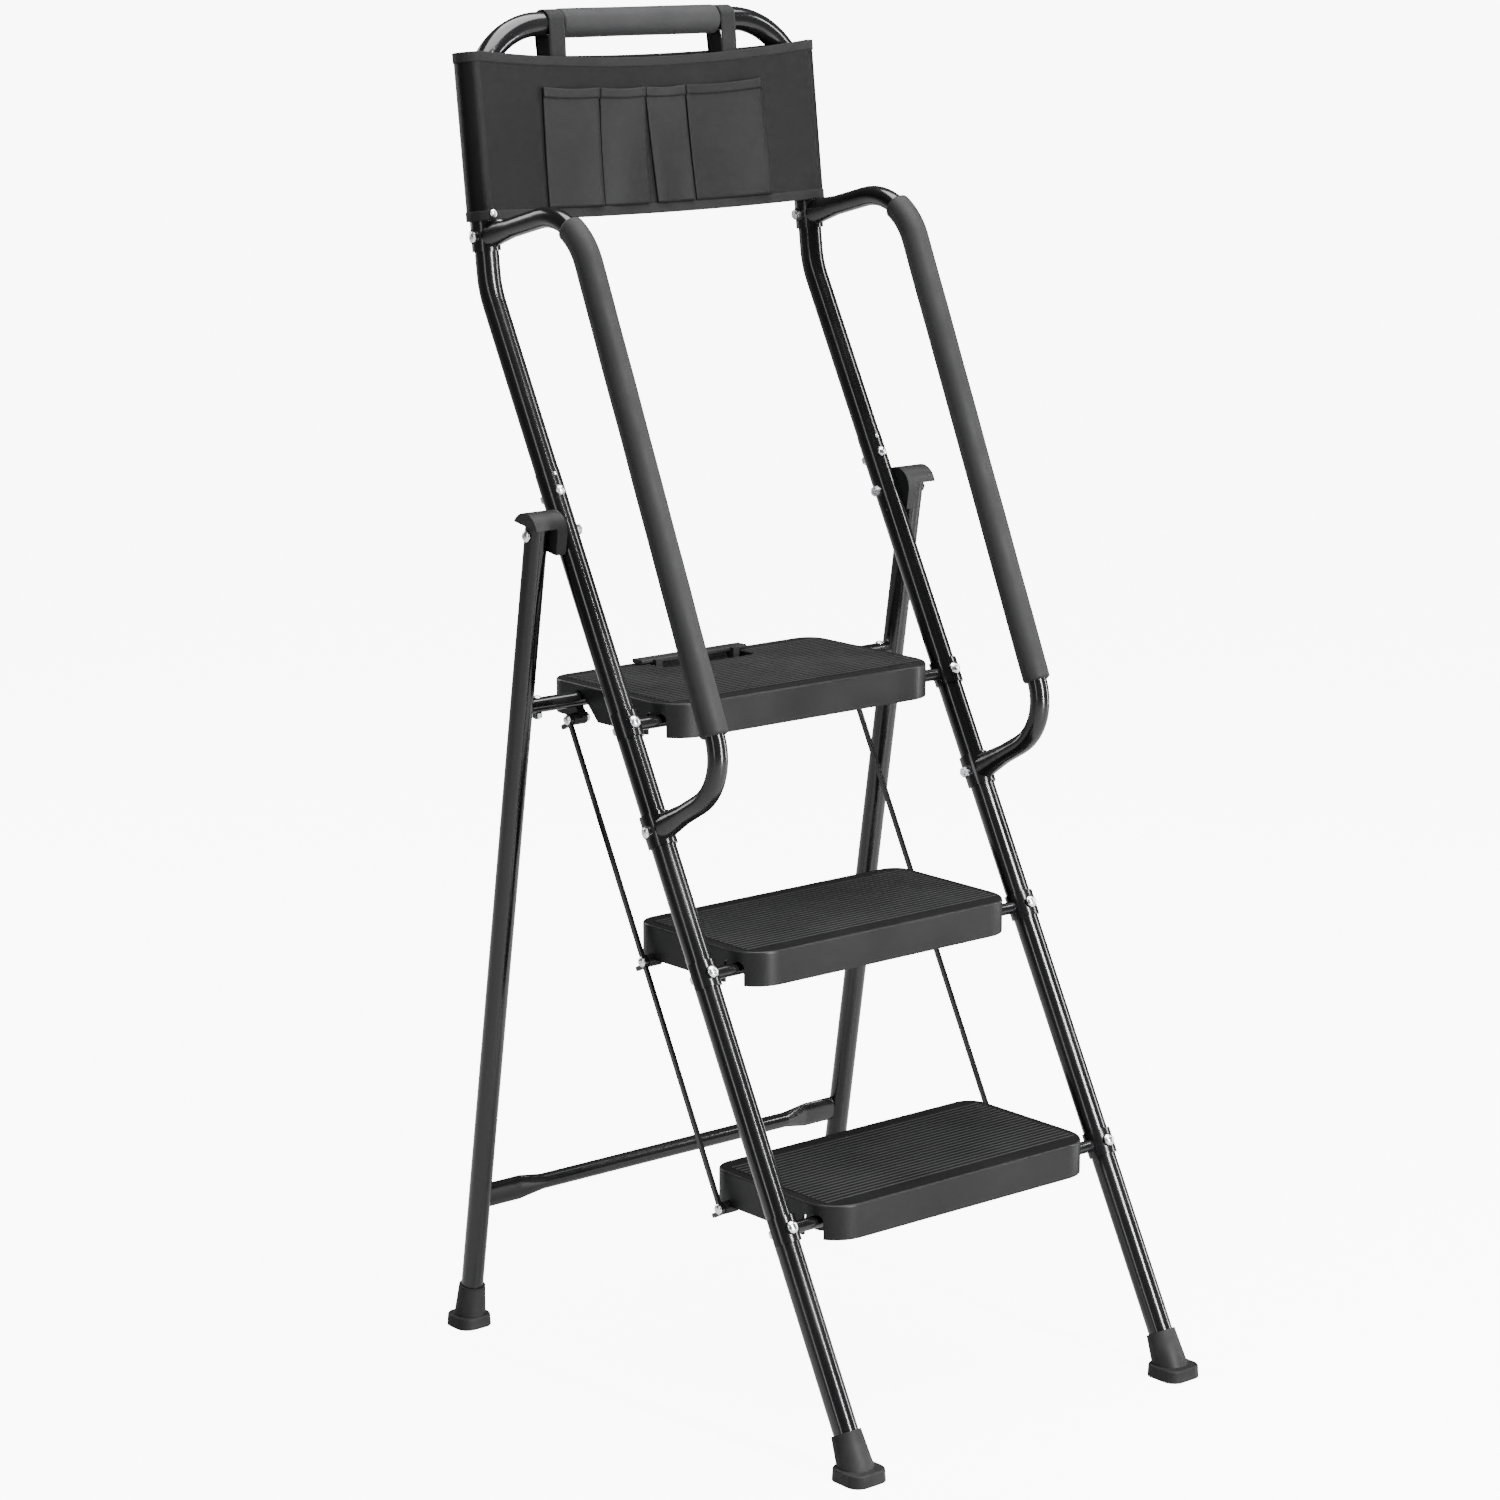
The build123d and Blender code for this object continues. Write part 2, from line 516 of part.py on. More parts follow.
# ---- link bars: tie the three steps together, so that they fold as one ------------------
LINK_WIDE = 4.8
LINK_END_R = 5.8
NUB_BACK = 8.0              # a stop nub stands behind each pivot
NUB_DOWN = 4.0
link_down = -RAIL_UP
for side, sign in SIDES:
    top_pin = Vector(0, rail_y(PIVOTS["top"]) + LINK_BACK, PIVOTS["top"] - LINK_DROP)
    low_pin = Vector(0, rail_y(PIVOTS["bottom"]) + LINK_BACK, PIVOTS["bottom"] - LINK_DROP)
    bar_plane = Plane(
        origin=(sign * LINK_IN, top_pin.Y, top_pin.Z),
        x_dir=link_down,
        z_dir=(1, 0, 0),
    )
    pitch = STEP_RISE / cos(radians(RAIL_LEAN))
    with BuildPart() as link_bar:
        with BuildSketch(bar_plane):
            with Locations((pitch, 0)):
                Rectangle(2 * pitch, LINK_WIDE)
            for row in range(3):
                with Locations((row * pitch, 0)):
                    Circle(LINK_END_R)
                with Locations((row * pitch + NUB_DOWN, NUB_BACK)):
                    RectangleRounded(5.0, 13.0, 1.5)
                with Locations((row * pitch, 0)):
                    Circle(SHANK_R + GAP, mode=Mode.SUBTRACT)
        extrude(amount=sign * LINK_THICK)
    write(link_bar, f"link_bar_{side}", BLACK)

# ---- latch: a lever along the top step's rear edge, with fingers behind the crossbar ----
LEVER_HALF = 72.0
LEVER_BACK = 168.5
LEVER_DEEP = 17.0
LEVER_TALL = 4.6
ARM_X = 53.0
ARM_WIDE = 8.0
top_view = side_plane(0, rail_y(PIVOTS["top"]), PIVOTS["top"])
lever_low = STEP_TOP + TREAD_RIB + 0.5
with BuildPart() as latch_lever:
    with BuildSketch(top_view):
        with Locations((LEVER_BACK, lever_low + LEVER_TALL / 2)):
            RectangleRounded(LEVER_DEEP, LEVER_TALL, 1.8)
    extrude(amount=LEVER_HALF, both=True)
    for sign in (-1, 1):
        with BuildSketch(top_view.offset(sign * ARM_X - ARM_WIDE / 2)):
            with BuildLine():
                Polyline(
                    (154.5, lever_low + 4.0),
                    (154.5, 4.0),
                    (140.5, 2.0),
                    (137.4, -1.0),
                    (135.6, -6.5),
                    (163.0, -2.0),
                    (165.0, 8.0),
                    (165.0, lever_low + 4.0),
                    close=True,
                )
            make_face()
            with Locations((PIN_BACK, PIN_UP)):
                Circle(PIN_R + GAP, mode=Mode.SUBTRACT)
        extrude(amount=ARM_WIDE)
write(latch_lever, "latch_lever", PLASTIC)

with BuildPart() as latch_pins:
    for sign in (-1, 1):
        with BuildSketch(top_view.offset(sign * (ARM_X - ARM_WIDE / 2 - 2.0))):
            with Locations((PIN_BACK, PIN_UP)):
                Circle(PIN_R)
        extrude(amount=sign * 24.0)
write(latch_pins, "latch_pins", CHROME)

# ---- rear legs, their hinge caps, and the bolts they swing on --------------------------
LEG_TOP_Z = 893.0
CAP_IN = RAIL_X + RAIL_OD / 2 + 0.4
CAP_OUT = 270.0
CAP_SPACER = 12.5           # width of the block between the rail and the leg
CAP_ROOF = 10.6             # underside of the roof over the leg, above the hinge
CAP_R = 21.0
CAP_UP = 3.0
CAP_LOW = -17.0
for side, sign in SIDES:
    x = sign * LEG_X
    with BuildPart() as rear_leg:
        with BuildSketch(leg_plane(x, LEG_BOTTOM_Z)):
            Circle(LEG_OD / 2)
        extrude(amount=(LEG_TOP_Z - LEG_BOTTOM_Z) / cos(radians(LEG_LEAN)))
        with BuildSketch(leg_plane(x, LEG_BOTTOM_Z)):
            Circle(LEG_OD / 2 - LEG_WALL)
        extrude(amount=1000.0, mode=Mode.SUBTRACT)
        cross_hole((x, rail_y(HINGE_Z), HINGE_Z), ALONG_X)
    write(rear_leg, f"rear_leg_{side}", BLACK)

    hinge = leg_plane(0, HINGE_Z)
    cap_view = Plane(origin=(0, rail_y(HINGE_Z), HINGE_Z), x_dir=hinge.y_dir, z_dir=(1, 0, 0))
    with BuildPart() as hinge_cap:
        with BuildSketch(cap_view.offset(sign * CAP_IN)):
            with Locations((0, CAP_UP)):
                Circle(CAP_R)
            with Locations((0, (CAP_UP + CAP_LOW) / 2)):
                Rectangle(2 * CAP_R, CAP_UP - CAP_LOW)
        extrude(amount=sign * CAP_SPACER)
        with BuildSketch(cap_view.offset(sign * (CAP_IN + CAP_SPACER))):
            with Locations((0, CAP_UP)):
                Circle(CAP_R)
            with Locations((0, CAP_ROOF - CAP_R)):
                Rectangle(2 * CAP_R, 2 * CAP_R, mode=Mode.SUBTRACT)
        extrude(amount=sign * (CAP_OUT - CAP_IN - CAP_SPACER))
        with BuildSketch(leg_plane(x, LEG_TOP_Z).offset(0.4)):
            Circle(LEG_OD / 2 + GAP)
        extrude(amount=-60.0, mode=Mode.SUBTRACT)
        cross_hole((x, rail_y(HINGE_Z), HINGE_Z), ALONG_X)
    write(hinge_cap, f"hinge_cap_{side}", PLASTIC)

with BuildPart() as hinge_bolts:
    for side, sign in SIDES:
        seat = Vector(sign * (LEG_X + LEG_OD / 2 + 0.4), rail_y(HINGE_Z), HINGE_Z)
        dome_head(seat, ALONG_X * sign, head_r=6.0, head_h=3.4)
        shank(seat, ALONG_X * -sign, LEG_X - RAIL_X + (LEG_OD + RAIL_OD) / 2 + NUT_TALL + 2.0)
write(hinge_bolts, "hinge_bolts", CHROME)

with BuildPart() as hinge_nuts:
    for side, sign in SIDES:
        seat = Vector(sign * (RAIL_X - RAIL_OD / 2 + ON_TUBE), rail_y(HINGE_Z), HINGE_Z)
        hex_nut(seat, ALONG_X * -sign, tall=NUT_TALL + ON_TUBE)
        wrap_cut(sign * RAIL_X, rail_plane, HINGE_Z, RAIL_OD)
write(hinge_nuts, "hinge_nuts", CHROME)

# ---- rear crossbars: tubes welded between the legs --------------------------------------
# The upper one is round all the way and carries a stop bolt near each end; the lower one's
# ends are pressed flat and tall before they meet the legs.
STOP_X = 235.0
BAR_REACH = LEG_X - 6.0
DRAIN_X = 160.0
with BuildPart() as rear_crossbar_upper:
    with BuildSketch(side_plane(0, leg_y(UPPER_BAR_Z), UPPER_BAR_Z)):
        Circle(UPPER_BAR_OD / 2)
        Circle(UPPER_BAR_OD / 2 - LEG_WALL, mode=Mode.SUBTRACT)
    extrude(amount=BAR_REACH, both=True)
    for side, sign in SIDES:
        wrap_cut(sign * LEG_X, leg_plane, UPPER_BAR_Z, LEG_OD)
        cross_hole((sign * STOP_X, leg_y(UPPER_BAR_Z), UPPER_BAR_Z), (0, 0, 1), length=12.0)
write(rear_crossbar_upper, "rear_crossbar_upper", BLACK)

with BuildPart() as crossbar_bolts:
    for side, sign in SIDES:
        seat = Vector(sign * STOP_X, leg_y(UPPER_BAR_Z), UPPER_BAR_Z + UPPER_BAR_OD / 2)
        dome_head(seat, Vector(0, 0, 1), head_r=4.6, head_h=2.2)
        shank(seat, Vector(0, 0, -1), UPPER_BAR_OD + NUT_TALL + 1.5)
write(crossbar_bolts, "crossbar_bolts", CHROME)

with BuildPart() as crossbar_nuts:
    for side, sign in SIDES:
        low = Vector(sign * STOP_X, leg_y(UPPER_BAR_Z), UPPER_BAR_Z - UPPER_BAR_OD / 2)
        hex_nut(low, Vector(0, 0, -1))
write(crossbar_nuts, "crossbar_nuts", CHROME)

FLAT_FROM = 172.0
FLAT_TO = 202.0
FLAT_TALL = 27.0
FLAT_THICK = 9.0
with BuildPart() as rear_crossbar_lower:
    centre = side_plane(0, leg_y(LOWER_BAR_Z), LOWER_BAR_Z)
    for sign in (-1, 1):
        with BuildSketch(centre.offset(sign * FLAT_FROM)):
            Circle(LOWER_BAR_OD / 2)
        with BuildSketch(centre.offset(sign * FLAT_TO)):
            Ellipse(FLAT_THICK / 2, FLAT_TALL / 2)
        loft()
        with BuildSketch(centre.offset(sign * FLAT_TO)):
            Ellipse(FLAT_THICK / 2, FLAT_TALL / 2)
        extrude(amount=sign * (BAR_REACH - FLAT_TO))
        wrap_cut(sign * LEG_X, leg_plane, LOWER_BAR_Z, LEG_OD)
    with BuildSketch(centre):
        Circle(LOWER_BAR_OD / 2)
    extrude(amount=FLAT_FROM, both=True)
    with BuildSketch(centre):
        Circle(LOWER_BAR_OD / 2 - LEG_WALL)
    extrude(amount=FLAT_FROM - 1.0, both=True, mode=Mode.SUBTRACT)
    with BuildSketch(Plane(origin=(0, leg_y(LOWER_BAR_Z), LOWER_BAR_Z))):
        with Locations((-DRAIN_X, 0), (DRAIN_X, 0)):
            Circle(2.0)
    extrude(amount=-LOWER_BAR_OD, mode=Mode.SUBTRACT)
write(rear_crossbar_lower, "rear_crossbar_lower", BLACK)

# ---- rubber feet: a flat sole, and a sleeve that flares from the tube down to it --------
FOOT_LIP = 13.0
feet = (
    ("front_foot", RAIL_X, rail_plane, rail_y, RAIL_OD, 31.0, (46.0, 46.0), 6.0, 43.0, RAIL_BOTTOM_Z),
    ("rear_foot", LEG_X, leg_plane, leg_y, LEG_OD, 28.6, (42.0, 42.0), 4.0, 47.0, LEG_BOTTOM_Z),
)
for name, at_x, plane_at, y_at, tube_od, sleeve_od, size, sole_z, high_z, tube_z in feet:
    for side, sign in SIDES:
        x = sign * at_x
        with BuildPart() as foot:
            with BuildSketch(Plane(origin=(x, y_at(sole_z), 0))):
                RectangleRounded(size[0], size[1], 14.0)
            extrude(amount=FOOT_LIP, taper=4.0)
            fillet(foot.edges().group_by(Axis.Z)[-1], 2.0)
            with BuildSketch(Plane(origin=(x, y_at(sole_z), 1.0))):
                Circle(size[0] / 2 - 3.0)
            with BuildSketch(plane_at(x, high_z)):
                Circle(sleeve_od / 2)
            loft()
            with BuildSketch(plane_at(x, tube_z)):
                Circle(tube_od / 2 + GAP)
            extrude(amount=80.0, mode=Mode.SUBTRACT)
        write(foot, f"{name}_{side}", RUBBER)

# ---- tool bag: a flat sleeve round the hand frame's legs, open at the top ---------------
BAG_HOLE_R = FRAME_OD / 2 + 0.3
bag_base = frame_plane(0, BAG_BOTTOM_Z)
with BuildPart() as bag_body:
    with BuildSketch(bag_base):
        RectangleRounded(2 * BAG_HALF, BAG_DEEP, 9.0)
    extrude(amount=BAG_TALL)
    with BuildSketch(bag_base.offset(BAG_WALL)):
        RectangleRounded(2 * (BAG_HALF - BAG_WALL), BAG_DEEP - 2 * BAG_WALL, 9.0 - BAG_WALL)
    extrude(amount=BAG_TALL, mode=Mode.SUBTRACT)
    with BuildSketch(bag_base):
        with Locations((-RAIL_X, 0), (RAIL_X, 0)):
            Circle(BAG_HOLE_R)
    extrude(amount=BAG_WALL * 2, mode=Mode.SUBTRACT)
write(bag_body, "bag_body", FABRIC)

# ---- tool pockets: one strip sewn to the bag's front, divided into four -----------------
POCKET_EDGES = (-142.0, -67.0, -6.5, 46.0, 145.0)
POCKET_TALL = 127.0
POCKET_UP = 10.0            # above the bag's bottom edge
pocket_base = bag_base.offset(POCKET_UP)
pocket_y = -BAG_DEEP / 2 - POCKET_PROUD / 2
with BuildPart() as bag_pockets:
    with BuildSketch(pocket_base):
        with Locations(((POCKET_EDGES[0] + POCKET_EDGES[-1]) / 2, pocket_y)):
            Rectangle(POCKET_EDGES[-1] - POCKET_EDGES[0], POCKET_PROUD)
    extrude(amount=POCKET_TALL)
    with BuildSketch(pocket_base.offset(POCKET_WALL)):
        for low, high_edge in zip(POCKET_EDGES[:-1], POCKET_EDGES[1:]):
            with Locations(((low + high_edge) / 2, pocket_y + POCKET_WALL / 2 + 1.0)):
                Rectangle(high_edge - low - 2 * POCKET_WALL, POCKET_PROUD - POCKET_WALL + 2.0)
    extrude(amount=POCKET_TALL, mode=Mode.SUBTRACT)
write(bag_pockets, "bag_pockets", FABRIC)

# ---- straps: two webbing loops over the top bar hold up the bag --------------------------
STRAP_FROM = 104.6
STRAP_WIDE = 20.0
STRAP_THICK = 1.8
STRAP_LOW = -64.0
STRAP_FLARE = -28.0
strap_view = frame_plane(0, FRAME_TOP_Z)
strap_side = Plane(origin=strap_view.origin, x_dir=strap_view.y_dir, z_dir=(1, 0, 0))
with BuildPart() as bag_straps:
    for side, sign in SIDES:
        for thick, mode in ((STRAP_THICK, Mode.ADD), (0.0, Mode.SUBTRACT)):
            half = BAG_DEEP / 2 + 0.4 + thick
            low = STRAP_LOW if thick else STRAP_LOW - 5.0
            with BuildSketch(strap_side.offset(sign * STRAP_FROM)):
                Circle(FRAME_OD / 2 + 0.3 + thick)
                with Locations((0, (STRAP_FLARE + low) / 2)):
                    Rectangle(2 * half, STRAP_FLARE - low)
                make_hull()
            extrude(amount=sign * STRAP_WIDE, mode=mode)
write(bag_straps, "bag_straps", FABRIC)

# ---- a stud closes the bag's lower corner -------------------------------------------------
STUD_X = -219.0
with BuildPart() as bag_stud:
    stud_plane = frame_plane(STUD_X, BAG_BOTTOM_Z + 6.0)
    front = stud_plane.y_dir * -1
    dome_head(stud_plane.origin + front * (BAG_DEEP / 2), front, head_r=4.2, head_h=2.2)
write(bag_stud, "bag_stud", CHROME)
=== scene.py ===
import math

import bpy
import numpy as np
from mathutils import Matrix, Vector


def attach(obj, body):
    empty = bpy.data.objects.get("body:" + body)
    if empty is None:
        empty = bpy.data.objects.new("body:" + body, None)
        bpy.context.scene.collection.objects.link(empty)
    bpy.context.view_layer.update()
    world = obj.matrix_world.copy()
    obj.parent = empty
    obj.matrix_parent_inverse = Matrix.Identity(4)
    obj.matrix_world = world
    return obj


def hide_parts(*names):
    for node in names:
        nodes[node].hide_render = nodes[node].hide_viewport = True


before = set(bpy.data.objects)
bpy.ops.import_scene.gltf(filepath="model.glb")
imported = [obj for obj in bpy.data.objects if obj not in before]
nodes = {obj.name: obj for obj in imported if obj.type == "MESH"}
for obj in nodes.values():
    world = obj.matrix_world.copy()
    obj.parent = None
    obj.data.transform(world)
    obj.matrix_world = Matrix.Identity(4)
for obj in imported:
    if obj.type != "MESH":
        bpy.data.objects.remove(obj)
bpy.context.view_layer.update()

# The frame tubes are round steel, bent cold and powder coated in gloss black.
# The coat is thin and slightly rippled, and a little duller where hands and shoes rub it.
FRAME_TUBES = (
    "lower_rail_left", "lower_rail_right", "hand_frame", "handrail_left", "handrail_right",
    "cross_tube_top", "cross_tube_middle", "cross_tube_bottom", "rear_leg_left",
    "rear_leg_right", "rear_crossbar_upper", "rear_crossbar_lower", "link_bar_left",
    "link_bar_right",
)


def new_finish(name, colour, rough, **sockets):
    """A material with one Principled shader, whose fixed values are set on its own sockets."""
    finish = bpy.data.materials.new(name)
    finish.use_nodes = True
    shader = finish.node_tree.nodes["Principled BSDF"]
    shader.inputs["Base Color"].default_value = (*colour, 1.0)
    shader.inputs["Roughness"].default_value = rough
    for key, value in sockets.items():
        shader.inputs[key.replace("_", " ")].default_value = value
    finish.diffuse_color = (*colour, 1.0)
    return finish, finish.node_tree, shader


def noise(tree, scale, detail=2.0, stretch=None, coords="Object"):
    """A noise texture on Object coordinates, or the piece's UV map, stretched by a Mapping node."""
    where = tree.nodes.new("ShaderNodeTexCoord")
    texture = tree.nodes.new("ShaderNodeTexNoise")
    texture.inputs["Scale"].default_value = scale
    texture.inputs["Detail"].default_value = detail
    link = where.outputs[coords]
    if stretch is not None:
        mapping = tree.nodes.new("ShaderNodeMapping")
        mapping.inputs["Scale"].default_value = stretch
        tree.links.new(link, mapping.inputs["Vector"])
        link = mapping.outputs["Vector"]
    tree.links.new(link, texture.inputs["Vector"])
    return texture.outputs["Fac"]


def ramp(tree, source, low, high, start=0.35, end=0.65):
    """Runs a value between two colours or two greys."""
    node = tree.nodes.new("ShaderNodeValToRGB")
    node.color_ramp.elements[0].position = start
    node.color_ramp.elements[1].position = end
    for element, value in zip(node.color_ramp.elements, (low, high)):
        element.color = (*value, 1.0) if hasattr(value, "__len__") else (value, value, value, 1.0)
    tree.links.new(source, node.inputs["Fac"])
    return node.outputs["Color"]


def bumps(tree, shader, height, strength, distance, below=None):
    """Adds a bump to a shader's normal, on top of another bump if one is given."""
    node = tree.nodes.new("ShaderNodeBump")
    node.inputs["Strength"].default_value = strength
    node.inputs["Distance"].default_value = distance
    tree.links.new(height, node.inputs["Height"])
    if below is not None:
        tree.links.new(below, node.inputs["Normal"])
    tree.links.new(node.outputs["Normal"], shader.inputs["Normal"])
    return node.outputs["Normal"]


def wear(name, *finishes):
    """Gives a CAD node its finish."""
    nodes[name].data.materials.clear()
    for finish in finishes:
        nodes[name].data.materials.append(finish)


powder_coat, tree, shader = new_finish(
    "black_powder_coat", (0.0025, 0.0025, 0.0027), 0.2, Specular_IOR_Level=0.4
)
rubbed = noise(tree, 9.0, 5.0)
tree.links.new(ramp(tree, rubbed, 0.13, 0.22), shader.inputs["Roughness"])
dusty = noise(tree, 3.0, 6.0)
tree.links.new(
    ramp(tree, dusty, (0.002, 0.002, 0.0022), (0.004, 0.004, 0.0043)),
    shader.inputs["Base Color"],
)
ripple = bumps(tree, shader, noise(tree, 220.0, 2.0), 0.025, 0.0004)
bumps(tree, shader, noise(tree, 1500.0, 1.0), 0.012, 0.0002, ripple)
for tube in FRAME_TUBES:
    wear(tube, powder_coat)

# Bolts, nuts, screws and the latch pins are bright zinc plated steel.
# Their heads have a fine grain and small rubs from the driver.
zinc, tree, shader = new_finish("bright_zinc", (0.78, 0.79, 0.81), 0.2, Metallic=1.0)
tree.links.new(ramp(tree, noise(tree, 260.0, 4.0), 0.14, 0.36), shader.inputs["Roughness"])
tree.links.new(
    ramp(tree, noise(tree, 90.0, 3.0), (0.62, 0.63, 0.66), (0.86, 0.87, 0.88)),
    shader.inputs["Base Color"],
)
bumps(tree, shader, noise(tree, 900.0, 2.0), 0.12, 0.0002)
FASTENERS = (
    "joint_bolts", "joint_nuts", "cross_tube_bolts", "cross_tube_nuts", "handrail_bolts",
    "handrail_nuts", "hinge_bolts", "hinge_nuts", "crossbar_bolts", "crossbar_nuts",
    "link_screws_top", "link_screws_middle", "link_screws_bottom", "link_nuts_top",
    "link_nuts_middle", "link_nuts_bottom", "latch_pins", "bag_stud", "seam_buttons",
)
for fastener in FASTENERS:
    wear(fastener, zinc)

# The treads, the latch lever and the hinge caps are moulded in black plastic.
# The skin is a fine satin spark texture, a touch paler where shoes have polished the ribs.
moulded, tree, shader = new_finish(
    "moulded_black_plastic", (0.006, 0.006, 0.0063), 0.4, Specular_IOR_Level=0.17
)
tree.links.new(ramp(tree, noise(tree, 14.0, 5.0), 0.36, 0.5), shader.inputs["Roughness"])
tree.links.new(
    ramp(tree, noise(tree, 5.0, 6.0), (0.0075, 0.0075, 0.0078), (0.012, 0.012, 0.0124)),
    shader.inputs["Base Color"],
)
grain = bumps(tree, shader, noise(tree, 1500.0, 2.0), 0.1, 0.0002)
bumps(tree, shader, noise(tree, 60.0, 2.0), 0.04, 0.001, grain)
for plastic in ("latch_lever", "hinge_cap_left", "hinge_cap_right"):
    wear(plastic, moulded)

# The treads are the same plastic, with long ribs moulded across them for grip.
# Their colour is painted by height: painted shade in the grooves, and painted light that makes the
# rib tops paler than the skirts, under a random scuff tone.
RIB_FOOT_Z = 0.2458
STEP_RISE = 0.235
tread, tree, shader = new_finish(
    "ribbed_tread", (0.008, 0.008, 0.0083), 0.4, Specular_IOR_Level=0.17
)
where = tree.nodes.new("ShaderNodeTexCoord")
split = tree.nodes.new("ShaderNodeSeparateXYZ")
tree.links.new(where.outputs["Object"], split.inputs["Vector"])
lowered = tree.nodes.new("ShaderNodeMath")
lowered.operation = "SUBTRACT"
lowered.inputs[1].default_value = RIB_FOOT_Z - 0.150
tree.links.new(split.outputs["Z"], lowered.inputs[0])
within = tree.nodes.new("ShaderNodeMath")
within.operation = "MODULO"
within.inputs[1].default_value = STEP_RISE
tree.links.new(lowered.outputs[0], within.inputs[0])
rise = tree.nodes.new("ShaderNodeMapRange")
rise.inputs["From Min"].default_value = 0.1490
rise.inputs["From Max"].default_value = 0.1510
tree.links.new(within.outputs[0], rise.inputs["Value"])
# This ramp paints light and shade by height: the skirt tone below the ribs, painted shade in the
# grooves, and a paler painted-light tone on the rib tops.
shade = tree.nodes.new("ShaderNodeValToRGB")
shade.color_ramp.elements[0].position = 0.30
shade.color_ramp.elements[0].color = (0.0065, 0.0065, 0.0068, 1.0)
shade.color_ramp.elements[1].position = 0.85
shade.color_ramp.elements[1].color = (0.021, 0.021, 0.0215, 1.0)
for place, grey in ((0.42, 0.0025), (0.58, 0.0025), (0.72, 0.014)):
    stop = shade.color_ramp.elements.new(place)
    stop.color = (grey, grey, grey, 1.0)
tree.links.new(rise.outputs["Result"], shade.inputs["Fac"])
# A random scuff tone is multiplied over the painted light and shade.
shade_and_scuffs = tree.nodes.new("ShaderNodeMix")
shade_and_scuffs.data_type = "RGBA"
shade_and_scuffs.blend_type = "MULTIPLY"
shade_and_scuffs.inputs["Factor"].default_value = 1.0
tree.links.new(shade.outputs["Color"], shade_and_scuffs.inputs["A"])
tree.links.new(ramp(tree, noise(tree, 11.0, 6.0), 0.75, 1.0), shade_and_scuffs.inputs["B"])
tree.links.new(shade_and_scuffs.outputs["Result"], shader.inputs["Base Color"])
tree.links.new(ramp(tree, noise(tree, 14.0, 5.0), 0.34, 0.48), shader.inputs["Roughness"])
bumps(tree, shader, noise(tree, 1500.0, 2.0), 0.08, 0.0002)
for step in ("step_top", "step_middle", "step_bottom"):
    wear(step, tread)

# The feet are dull black rubber pushed over the tube ends.
# Floor dust clings to the soles and greys them a little.
sole_rubber, tree, shader = new_finish(
    "foot_rubber", (0.006, 0.006, 0.0063), 0.6, Specular_IOR_Level=0.17
)
tree.links.new(ramp(tree, noise(tree, 30.0, 5.0), 0.52, 0.75), shader.inputs["Roughness"])
tree.links.new(
    ramp(tree, noise(tree, 22.0, 6.0), (0.005, 0.005, 0.0053), (0.011, 0.011, 0.011)),
    shader.inputs["Base Color"],
)
bumps(tree, shader, noise(tree, 700.0, 3.0), 0.3, 0.0004)
for foot in ("front_foot_left", "front_foot_right", "rear_foot_left", "rear_foot_right"):
    wear(foot, sole_rubber)

# Two long foam sleeves pad the handrails and a short one pads the top bar.
# They are closed-cell foam, slid on over the tube, soft at the ends and never quite even.
RAIL_LEAN = math.radians(27.5)
FRAME_LEAN = math.radians(6.7)
RAIL_FOOT_Y = -0.30610
BEND_Z = 1.120
TOP_BAR_Z = 1.386
RAIL_X = 0.218


def rail_y(z):
    """Y of a lower rail's axis at height z."""
    return RAIL_FOOT_Y + z * math.tan(RAIL_LEAN)


def frame_y(z):
    """Y of the hand frame's upper part at height z."""
    return rail_y(BEND_Z) + (z - BEND_Z) * math.tan(FRAME_LEAN)


def put_mesh(name, points, faces, finish, smooth=True, uv=None):
    """A mesh piece from arrays of points and faces, with its UV map given point by point."""
    mesh = bpy.data.meshes.new(name)
    mesh.from_pydata(points.reshape(-1, 3).tolist(), [], faces.tolist())
    mesh.polygons.foreach_set("use_smooth", np.full(len(mesh.polygons), smooth))
    if uv is not None:
        layer = mesh.uv_layers.new(name="cloth")
        corners = np.zeros(len(mesh.loops), np.int32)
        mesh.loops.foreach_get("vertex_index", corners)
        layer.data.foreach_set("uv", uv.reshape(-1, 2)[corners].astype(np.float32).ravel())
    mesh.materials.append(finish)
    mesh.update()
    piece = bpy.data.objects.new(name, mesh)
    bpy.context.scene.collection.objects.link(piece)
    return piece


def grid_faces(rows, columns, round_rows=False, round_columns=False):
    """The four-sided faces of a grid of points, rows by columns, closed on itself if asked."""
    r = np.arange(rows if round_rows else rows - 1)
    c = np.arange(columns if round_columns else columns - 1)
    r, c = (a.ravel() for a in np.meshgrid(r, c, indexing="ij"))
    r2, c2 = (r + 1) % rows, (c + 1) % columns
    corners = (r * columns + c, r * columns + c2, r2 * columns + c2, r2 * columns + c)
    return np.stack(corners, axis=1)


